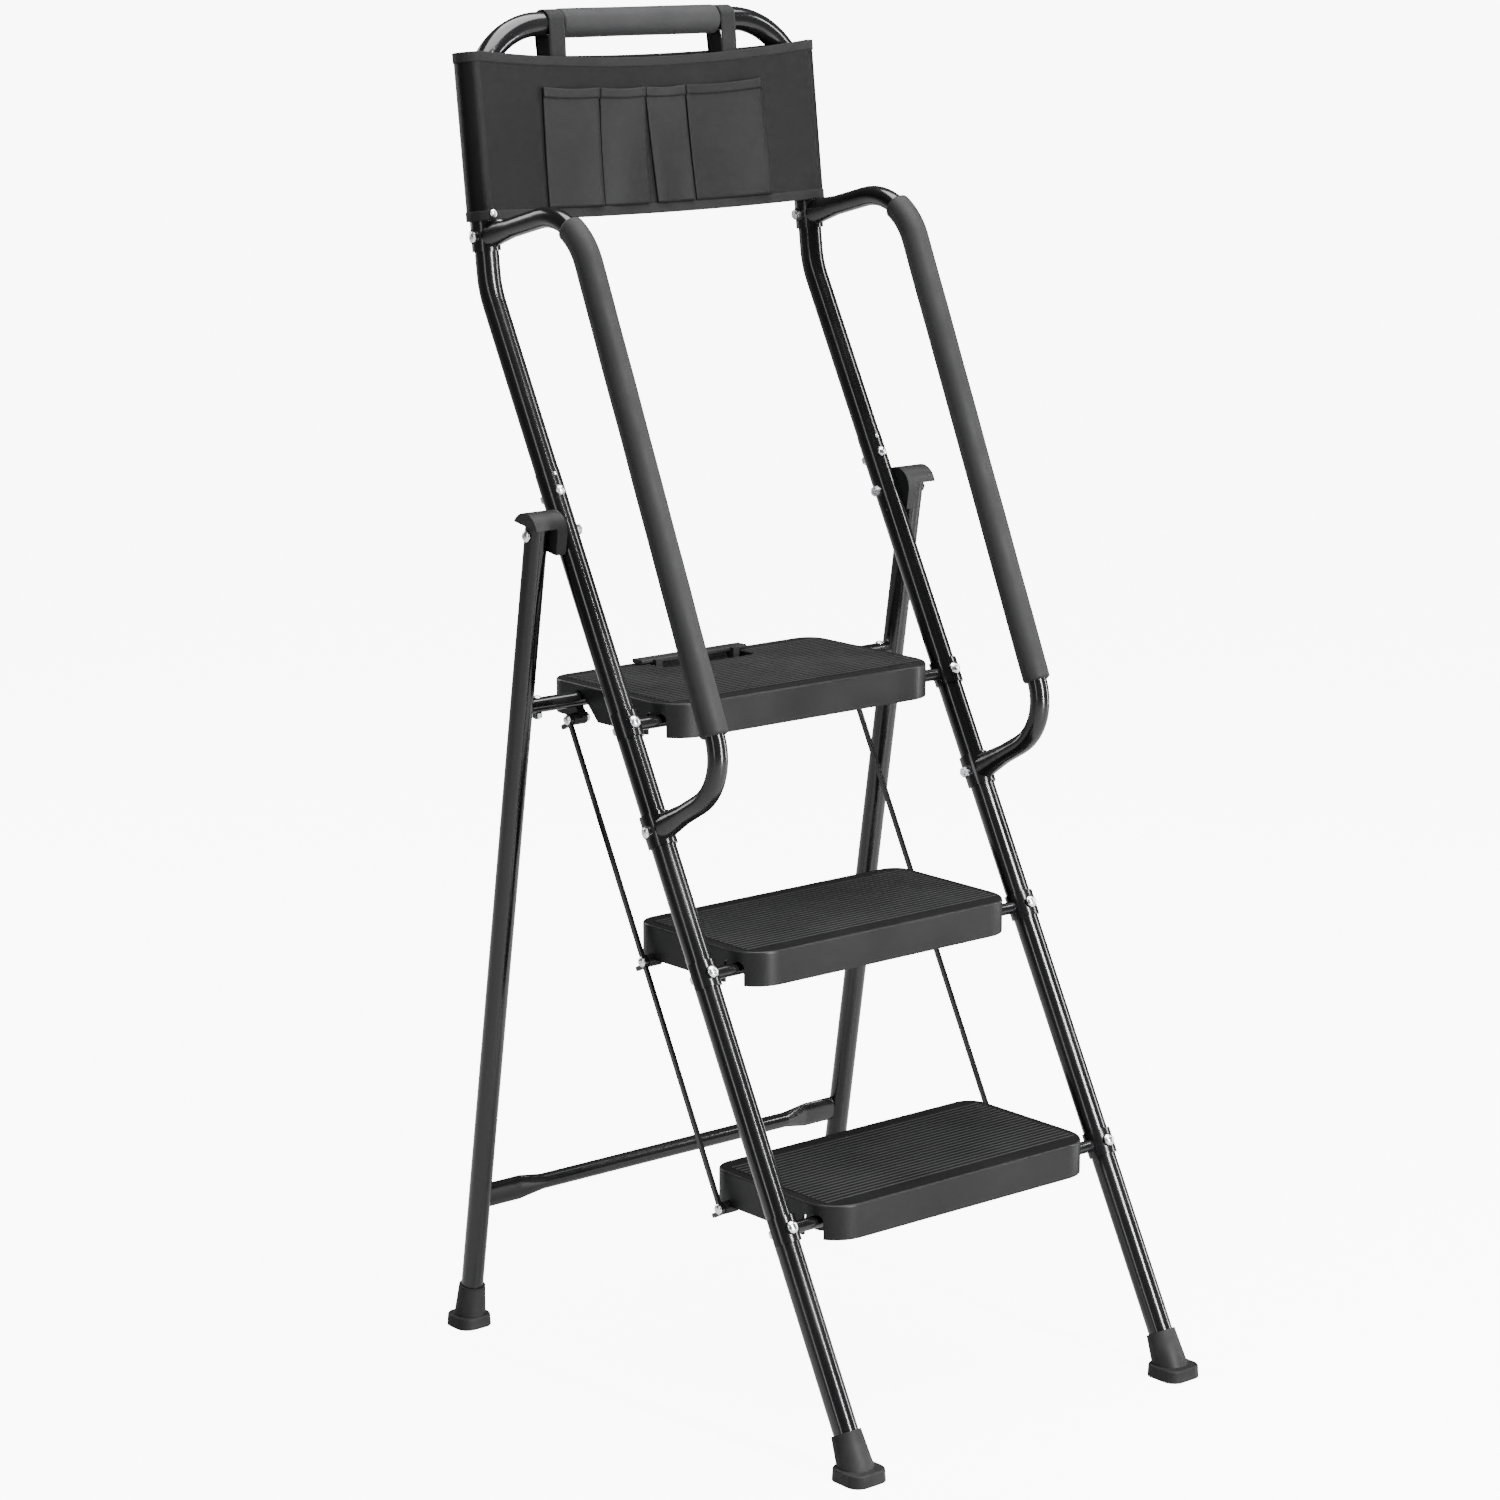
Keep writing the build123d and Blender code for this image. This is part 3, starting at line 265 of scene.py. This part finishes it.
def foam_sleeve(name, path, radii, hole, finish, seed):
    """A hollow sleeve round a path: each ring is a circle in the plane across the path.

    The outer radius follows radii, with slow ripples made of a few sine waves, and the rings
    go along the outside, over the rounded end, back through the bore and over the other end.
    """
    ring = 40
    ahead = np.gradient(path, axis=0)
    ahead /= np.linalg.norm(ahead, axis=1)[:, None]
    side = np.tile([1.0, 0.0, 0.0], (len(path), 1))
    side -= ahead * (side * ahead).sum(1)[:, None]
    if abs(ahead[0, 0]) > 0.9:
        side = np.tile([0.0, 1.0, 0.0], (len(path), 1))
    side /= np.linalg.norm(side, axis=1)[:, None]
    third = np.cross(ahead, side)
    turn = np.linspace(0, 2 * np.pi, ring, endpoint=False)
    spread = np.linalg.norm(np.diff(path, axis=0), axis=1)
    along = np.concatenate([[0], np.cumsum(spread)])
    waves = np.zeros((len(path), ring))
    rng = np.random.default_rng(seed)
    for _ in range(7):
        k, m, shift = rng.uniform(6, 60), rng.integers(0, 3), rng.uniform(0, 6.28)
        waves += rng.uniform(0.4, 1.0) * np.sin(along[:, None] * k + m * turn[None] + shift)
    outer = radii[:, None] - 0.0002 + 0.00012 * waves / 2
    circle = (
        np.cos(turn)[None, :, None] * side[:, None]
        + np.sin(turn)[None, :, None] * third[:, None]
    )
    outside = path[:, None] + outer[..., None] * circle
    inside = path[::-1, None] + hole * circle[::-1]
    points = np.concatenate([outside, inside])
    around = np.tile(turn / (2 * np.pi), (len(points), 1))
    run = np.concatenate([along, along[::-1]])[:, None] * np.ones(ring)
    faces = grid_faces(len(points), ring, round_rows=True, round_columns=True)
    return put_mesh(name, points, faces[:, ::-1], finish, uv=np.stack([around, run], axis=-1))


foam, tree, shader = new_finish(
    "closed_cell_foam", (0.012, 0.012, 0.0123), 0.62, Specular_IOR_Level=0.16, Sheen_Weight=0.02,
    Sheen_Roughness=0.45,
)
tree.links.new(
    ramp(tree, noise(tree, 7.0, 6.0), (0.0085, 0.0085, 0.009), (0.0125, 0.0125, 0.013)),
    shader.inputs["Base Color"],
)
tree.links.new(ramp(tree, noise(tree, 30.0, 4.0), 0.55, 0.7), shader.inputs["Roughness"])
pores = bumps(tree, shader, noise(tree, 1700.0, 3.0), 0.28, 0.0004)
bumps(tree, shader, noise(tree, 45.0, 2.0), 0.08, 0.002, pores)


def rounded_ends(count, full, end, length, spacing):
    """Radii along a sleeve: full in the middle, eased in to a smaller one at both ends."""
    at = np.arange(count) * spacing
    near = np.minimum(at, at[-1] - at)
    ease = np.sqrt(np.clip(1 - (1 - np.clip(near / length, 0, 1)) ** 2, 0, 1))
    return end + (full - end) * ease


HIGH = np.array([RAIL_FOOT_Y + 0.438, 1.212])
LOW = np.array([RAIL_FOOT_Y + 0.200, 0.661])
BEND_R = 0.070
run_down = (LOW - HIGH) / np.linalg.norm(LOW - HIGH)
junction = np.array([frame_y(1.174), 1.174])
into = (HIGH - junction) / np.linalg.norm(HIGH - junction)
turn_angle = math.acos(float(run_down @ into))
bend_start = HIGH + run_down * BEND_R * math.tan(turn_angle / 2)
normal = np.array([-run_down[1], run_down[0]])
centre = bend_start + normal * BEND_R
grip_low = HIGH + run_down * ((0.708 - HIGH[1]) / run_down[1])
straight = grip_low + (bend_start - grip_low) * np.linspace(0, 1, 170)[:, None]
sweep = np.radians(np.linspace(0, 38.0, 17))[1:, None]
bend = centre - BEND_R * (normal * np.cos(sweep) + run_down * np.sin(sweep))
grip_line = np.concatenate([straight, bend])
steps = np.linalg.norm(np.diff(grip_line, axis=0), axis=1)
grip_at = np.concatenate([[0], np.cumsum(steps)])
even = np.linspace(0, grip_at[-1], 260)
grip_line = np.stack([np.interp(even, grip_at, grip_line[:, k]) for k in range(2)], axis=1)
for side, sign in (("left", -1), ("right", 1)):
    across = np.full(len(grip_line), sign * RAIL_X)
    path = np.stack([across, grip_line[:, 0], grip_line[:, 1]], axis=1)
    radii = rounded_ends(len(path), 0.01475, 0.0127, 0.0025, even[1])
    sleeve = foam_sleeve(f"foam_grip_{side}", path, radii, 0.0107, foam, 5 + sign)
    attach(sleeve, "front_frame")
    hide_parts(f"handrail_grip_{side}")

bar_x = np.linspace(-0.104, 0.104, 120)
path = np.stack([bar_x, np.full(120, frame_y(TOP_BAR_Z)), np.full(120, TOP_BAR_Z)], axis=1)
radii = rounded_ends(120, 0.0155, 0.0136, 0.002, bar_x[1] - bar_x[0])
sleeve = foam_sleeve("foam_grip_top", path, radii, 0.0127, foam, 11)
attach(sleeve, "front_frame")
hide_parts("top_grip")

# The tool bag is a flat sleeve of coated black cloth, drawn tight round the hand frame's legs.
# Between them the cloth goes slack: the panels hollow in and the top edges droop.
BAG_LOW_Z = 1.190
BAG_TALL = 0.170
SIDE_R = 0.0175
UP = np.array([0.0, math.sin(FRAME_LEAN), math.cos(FRAME_LEAN)])
BACK = np.array([0.0, math.cos(FRAME_LEAN), -math.sin(FRAME_LEAN)])


def on_frame(x, back, up):
    """Points in the row's frame: x across, back behind the hand frame, up along it."""
    foot = np.array([0.0, frame_y(BAG_LOW_Z), BAG_LOW_Z])
    return (
        foot
        + np.asarray(x)[..., None] * np.array([1.0, 0.0, 0.0])
        + np.asarray(back)[..., None] * BACK
        + np.asarray(up)[..., None] * UP
    )


def panel_depth(x, height, front):
    """How far a panel stands from the hand frame's middle at x and a height from 0 to 1.

    Full beside the tubes and hollowed between them as the square root of a cosine, with a
    few slanting folds that are deepest in the middle and die out at the tubes.
    """
    span = np.clip(np.abs(x) / RAIL_X, 0, 1)
    slack = np.clip(1 - span**2, 0, 1)
    hollow = (0.0035 + 0.0025 * np.sin(np.pi * np.clip(height, 0, 1))) * slack
    folds = np.zeros_like(x)
    for k, shift, lean in ((21.0, 0.4, 2.0), (34.0, 2.1, -3.0), (55.0, 4.0, 1.4)):
        folds = folds + np.sin(k * x + lean * height + shift) / k
    folds = folds * 0.018 * slack
    return SIDE_R - hollow + (folds if front else -0.8 * folds)


def droop(x, height, front):
    """How far the cloth hangs below its cut line: a parabola across, deeper toward the top."""
    slack = np.clip(1 - (np.abs(x) / RAIL_X) ** 2, 0, 1)
    return (1.0 if front else 0.6) * slack * (0.004 + 0.008 * np.clip(height, 0, 1) ** 2)


cloth, tree, shader = new_finish(
    "coated_bag_cloth", (0.0025, 0.0025, 0.0027), 0.4, Specular_IOR_Level=0.07, Sheen_Weight=0.01,
    Sheen_Roughness=0.4,
)
tree.links.new(
    ramp(tree, noise(tree, 6.0, 6.0), (0.002, 0.002, 0.0022), (0.0035, 0.0035, 0.0037)),
    shader.inputs["Base Color"],
)
tree.links.new(ramp(tree, noise(tree, 18.0, 4.0), 0.36, 0.46), shader.inputs["Roughness"])


def weave(tree, shader, per_metre, strength, distance):
    """A plain weave on the UV map, which is in metres: two sets of rounded threads that cross."""
    where = tree.nodes.new("ShaderNodeTexCoord")
    split = tree.nodes.new("ShaderNodeSeparateXYZ")
    tree.links.new(where.outputs["UV"], split.inputs["Vector"])
    threads = []
    for axis in ("X", "Y"):
        scale = tree.nodes.new("ShaderNodeMath")
        scale.operation = "MULTIPLY"
        scale.inputs[1].default_value = per_metre * 2 * math.pi
        tree.links.new(split.outputs[axis], scale.inputs[0])
        wave = tree.nodes.new("ShaderNodeMath")
        wave.operation = "SINE"
        tree.links.new(scale.outputs[0], wave.inputs[0])
        threads.append(wave.outputs[0])
    both = tree.nodes.new("ShaderNodeMath")
    both.operation = "MULTIPLY"
    tree.links.new(threads[0], both.inputs[0])
    tree.links.new(threads[1], both.inputs[1])
    return bumps(tree, shader, both.outputs[0], strength, distance)


woven = weave(tree, shader, 900.0, 0.22, 0.0003)
bumps(tree, shader, noise(tree, 28.0, 4.0), 0.12, 0.003, woven)


def bag_loop(count):
    """The sleeve's plan as a closed loop: front panel, one round side, back panel, the other.

    Returns x, the share of the depth behind the middle from -1 to 1, and distance round it.
    """
    flat = np.linspace(-RAIL_X, RAIL_X, count)
    angle = np.radians(np.linspace(-90, 90, 22))[1:-1]
    round_x = RAIL_X + SIDE_R * np.cos(angle)
    x = np.concatenate([flat, round_x, flat[::-1], -round_x])
    back = np.concatenate(
        [np.full(count, -1.0), np.sin(angle), np.full(count, 1.0), -np.sin(angle)]
    )
    y = back * SIDE_R
    gap = np.hypot(np.diff(x, append=x[0]), np.diff(y, append=y[0]))
    return x, back, np.concatenate([[0], np.cumsum(gap)[:-1]])


LOOP = 150
loop_x, loop_back, loop_run = bag_loop(LOOP)
front_half = loop_back < 0


def bag_surface(rows_from, rows_to, rows, proud=0.0):
    """The sleeve's outer surface between two heights from 0 to 1, moved out by proud."""
    height = np.linspace(rows_from, rows_to, rows)[:, None] * np.ones_like(loop_x)
    x = np.tile(loop_x, (rows, 1))
    depth = np.where(front_half, panel_depth(x, height, True), panel_depth(x, height, False))
    side = np.where(np.abs(x) > RAIL_X, (np.abs(x) - RAIL_X) / SIDE_R, 0)
    x = x + np.sign(x) * side * proud
    sag = np.where(front_half, droop(x, height, True), droop(x, height, False))
    return on_frame(x, loop_back * (depth + proud), height * BAG_TALL - sag), height


points, height = bag_surface(0.0, 1.0, 60)
uv = np.stack([np.tile(loop_run, (60, 1)), height * BAG_TALL], axis=-1)
faces = grid_faces(60, points.shape[1], round_columns=True)
sleeve = put_mesh("bag_sleeve", points, faces, cloth, uv=uv)
wall = sleeve.modifiers.new("cloth wall", "SOLIDIFY")
wall.thickness = 0.0012
wall.offset = -1
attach(sleeve, "front_frame")
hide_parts("bag_body")

# A floor strip closes the sleeve between the legs, so that tools don't fall through.
x = np.linspace(-RAIL_X + 0.02, RAIL_X - 0.02, 90)
across = np.linspace(-1, 1, 12)
grid_x, grid_a = np.meshgrid(x, across)
at_foot = 0 * grid_x
depth = np.where(
    grid_a < 0, panel_depth(grid_x, at_foot, True), panel_depth(grid_x, at_foot, False)
)
belly = 0.0035 - 0.003 * (1 - grid_a**2) * np.clip(1 - (grid_x / RAIL_X) ** 2, 0, 1)
points = on_frame(grid_x, grid_a * (depth - 0.001), belly)
uv = np.stack([grid_x, grid_a * 0.017], axis=-1)
strip = put_mesh("bag_floor", points, grid_faces(12, 90), cloth, uv=uv)
wall = strip.modifiers.new("cloth wall", "SOLIDIFY")
wall.thickness = 0.0012
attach(strip, "front_frame")

# Woven tape binds the sleeve's top and bottom edges, folded over and stitched down.
tape, tree, shader = new_finish(
    "binding_tape", (0.002, 0.002, 0.0022), 0.75, Specular_IOR_Level=0.2, Sheen_Weight=0.02
)
tree.links.new(
    ramp(tree, noise(tree, 40.0, 5.0), (0.0015, 0.0015, 0.0017), (0.003, 0.003, 0.0033)),
    shader.inputs["Base Color"],
)
weave(tree, shader, 620.0, 0.5, 0.0004)
for name, low, high in (("bag_binding_top", 0.944, 1.004), ("bag_binding_low", -0.004, 0.056)):
    points, height = bag_surface(low, high, 9, proud=0.0009)
    inner, _ = bag_surface(high, low, 9, proud=-0.0021)
    points = np.concatenate([points, inner])
    around = np.tile(loop_run, (18, 1))
    up = np.concatenate([height, height[::-1] + 0.1]) * BAG_TALL
    faces = grid_faces(18, points.shape[1], round_rows=True, round_columns=True)
    binding = put_mesh(name, points, faces, tape, uv=np.stack([around, up], axis=-1))
    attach(binding, "front_frame")

# Four tool pockets are sewn to the front as one pleated strip of the same cloth.
# Each is flat at its left seam and stands open at its right one, so that its mouth gapes.
POCKET_EDGES = (-0.142, -0.067, -0.0065, 0.046, 0.152)
POCKET_LOW = 0.010
POCKET_HIGH = 0.137
pocket_cloth, tree, shader = new_finish(
    "pocket_cloth", (0.005, 0.005, 0.0053), 0.46, Specular_IOR_Level=0.09, Sheen_Weight=0.01,
    Sheen_Roughness=0.4,
)
tree.links.new(
    ramp(tree, noise(tree, 9.0, 6.0), (0.0032, 0.0032, 0.0035), (0.0052, 0.0052, 0.0055)),
    shader.inputs["Base Color"],
)
woven = weave(tree, shader, 900.0, 0.2, 0.0003)
bumps(tree, shader, noise(tree, 40.0, 4.0), 0.14, 0.003, woven)


def pocket_front(left, right, seed):
    """One pocket's front panel on a grid: across from 0 to 1 and up from 0 to 1.

    It lies on the bag at the left seam, rises in a straight slope that rounds over near the
    right one, and drops back there in a steep pleat. It stands further out to its mouth, and
    its seams splay a little to the foot.
    """
    across = np.concatenate([np.linspace(0, 0.86, 44), np.linspace(0.88, 1, 16)])
    up = np.linspace(0, 1, 46)
    u, v = np.meshgrid(across, up)
    splay = 0.004 * (1 - v) * np.sign(left + right)
    x = left + (right - left) * u + splay
    rise = np.minimum(u / 0.9, 1.0) ** 1.3
    fall = np.clip((1 - u) / 0.07, 0, 1) ** 0.6
    open_up = 0.55 + 0.45 * v**1.5
    rng = np.random.default_rng(seed)
    crease = np.zeros_like(u)
    for _ in range(4):
        a, b, s = rng.uniform(3, 9), rng.uniform(-4, 4), rng.uniform(0, 6.28)
        crease += np.sin(a * u + b * v + s)
    lift = 0.0014 + 0.0052 * rise * fall * open_up + 0.00035 * crease * fall
    height = (POCKET_LOW + (POCKET_HIGH - POCKET_LOW) * v) / BAG_TALL
    depth = panel_depth(x, height, True) + lift
    sag = droop(x, height, True) + 0.0015 * np.sin(np.pi * u) * v**3
    return on_frame(x, -depth, height * BAG_TALL - sag), x, v


for count, (left, right) in enumerate(zip(POCKET_EDGES[:-1], POCKET_EDGES[1:])):
    points, x, v = pocket_front(left + 0.0008, right - 0.0008, 20 + count)
    rows, columns = v.shape
    uv = np.stack([x, v * (POCKET_HIGH - POCKET_LOW)], axis=-1)
    faces = grid_faces(rows, columns)
    pocket = put_mesh(f"bag_pocket_{count + 1}", points, faces, pocket_cloth, uv=uv)
    wall = pocket.modifiers.new("cloth wall", "SOLIDIFY")
    wall.thickness = 0.0012
    wall.offset = -1
    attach(pocket, "front_frame")
    if count == 0:
        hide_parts("bag_pockets")
    # a folded hem along the mouth
    hem = points[-5:] - BACK * 0.0007
    lip = put_mesh(
        f"bag_pocket_hem_{count + 1}", hem, grid_faces(5, columns), pocket_cloth, uv=uv[-5:]
    )
    wall = lip.modifiers.new("cloth wall", "SOLIDIFY")
    wall.thickness = 0.0008
    wall.offset = 1
    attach(lip, "front_frame")

# Two webbing loops pass over the top bar and are sewn inside the front and back panels.
# Each is one flat ribbon, 20 mm wide, that leans in a little as it rises.
STRAP_X = 0.1143
STRAP_HALF = 0.0098
bar_up = (TOP_BAR_Z - BAG_LOW_Z) / math.cos(FRAME_LEAN)
for side, sign in (("left", -1), ("right", 1)):
    over = np.radians(np.linspace(180 - 20, 20, 30))
    bar = np.stack([0.0141 * np.cos(over), bar_up + 0.0141 * np.sin(over)], axis=1)
    front_foot = np.array(
        [[-0.0108, BAG_TALL - 0.036], [-0.0110, BAG_TALL - 0.016], [-0.0126, BAG_TALL + 0.004]]
    )
    back_foot = front_foot[::-1] * [-1, 1]
    line = np.concatenate([front_foot, bar, back_foot])
    gap = np.concatenate([[0], np.cumsum(np.linalg.norm(np.diff(line, axis=0), axis=1))])
    even = np.linspace(0, gap[-1], 110)
    line = np.stack([np.interp(even, gap, line[:, k]) for k in range(2)], axis=1)
    width = np.linspace(-STRAP_HALF, STRAP_HALF, 9)
    x = sign * STRAP_X + width[None, :] + np.zeros((110, 1))
    points = on_frame(x, np.tile(line[:, :1], (1, 9)), np.tile(line[:, 1:], (1, 9)))
    uv = np.stack([x, np.tile(even[:, None], (1, 9))], axis=-1)
    strap = put_mesh(f"bag_strap_{side}", points, grid_faces(110, 9), tape, uv=uv)
    wall = strap.modifiers.new("webbing", "SOLIDIFY")
    wall.thickness = 0.0013
    wall.offset = 0
    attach(strap, "front_frame")
    if sign < 0:
        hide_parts("bag_straps")

# A plain pale floor under soft studio light: a broad light overhead and a tall one each side.
# The floor shines white to the eye and much less to the object, so black paint stays black.
GLOW_ON_OBJECT = 0.18
GLOW_SEEN = 9.0
floor_finish, tree, shader = new_finish("studio_floor", (0.4, 0.4, 0.4), 0.6)
shader.inputs["Emission Color"].default_value = (1, 1, 1, 1)
seen = tree.nodes.new("ShaderNodeLightPath")
glow = tree.nodes.new("ShaderNodeMapRange")
glow.inputs["To Min"].default_value = GLOW_ON_OBJECT
glow.inputs["To Max"].default_value = GLOW_SEEN
tree.links.new(seen.outputs["Is Camera Ray"], glow.inputs["Value"])
tree.links.new(glow.outputs["Result"], shader.inputs["Emission Strength"])
tree.links.new(
    ramp(tree, noise(tree, 0.6, 2.0), (0.39, 0.39, 0.39), (0.41, 0.41, 0.41)),
    shader.inputs["Base Color"],
)
edge = 90.0
points = np.array([[-edge, -edge, 0], [edge, -edge, 0], [edge, edge, 0], [-edge, edge, 0]], float)
floor = put_mesh("studio_floor", points, np.array([[0, 1, 2, 3]]), floor_finish, smooth=False)


def soft_light(name, place, look_at, size, power):
    """A rectangular area light that faces a point."""
    lamp = bpy.data.lights.new(name, "AREA")
    lamp.shape = "RECTANGLE"
    lamp.size, lamp.size_y = size
    lamp.energy = power
    holder = bpy.data.objects.new(name, lamp)
    holder.location = place
    holder.rotation_euler = (Vector(look_at) - Vector(place)).to_track_quat("-Z", "Y").to_euler()
    holder.visible_camera = False
    bpy.context.scene.collection.objects.link(holder)


soft_light("overhead", (0.2, -0.2, 3.6), (0, 0, 0.5), (3.0, 3.0), 380)
soft_light("left_panel", (-2.9, -0.9, 1.5), (0, 0, 0.8), (0.35, 2.6), 22)
soft_light("front_strip", (0.3, -3.1, 1.6), (0, 0, 0.8), (0.16, 3.4), 420)
soft_light("right_strip", (2.6, -1.2, 1.4), (0, 0, 0.8), (0.22, 2.8), 90)
soft_light("back_panel", (-0.9, 3.5, 2.0), (0, 0, 0.8), (1.6, 2.4), 80)
world = bpy.data.worlds.new("studio")
world.use_nodes = True
world.node_tree.nodes["Background"].inputs["Color"].default_value = (1, 1, 1, 1)
world.node_tree.nodes["Background"].inputs["Strength"].default_value = 0.16
bpy.context.scene.world = world

# The camera stands to the left of the front at eye height and looks slightly down.
TURN, DIP, ROLL = 0.69, -0.212, -0.004
ahead = Vector((math.sin(TURN) * math.cos(DIP), math.cos(TURN) * math.cos(DIP), math.sin(DIP)))
lens = bpy.data.cameras.new("camera")
lens.sensor_width = 36.0
lens.lens = 36.0 * 3990.6 / 1500.0
lens.clip_end = 60.0
camera = bpy.data.objects.new("camera", lens)
facing = ahead.to_track_quat("-Z", "Y").to_matrix().to_4x4()
stand = Matrix.Translation((-2.6315, -2.7584 + RAIL_FOOT_Y, 1.5194))
camera.matrix_world = stand @ facing @ Matrix.Rotation(ROLL, 4, "Z")
bpy.context.scene.collection.objects.link(camera)
bpy.context.scene.camera = camera
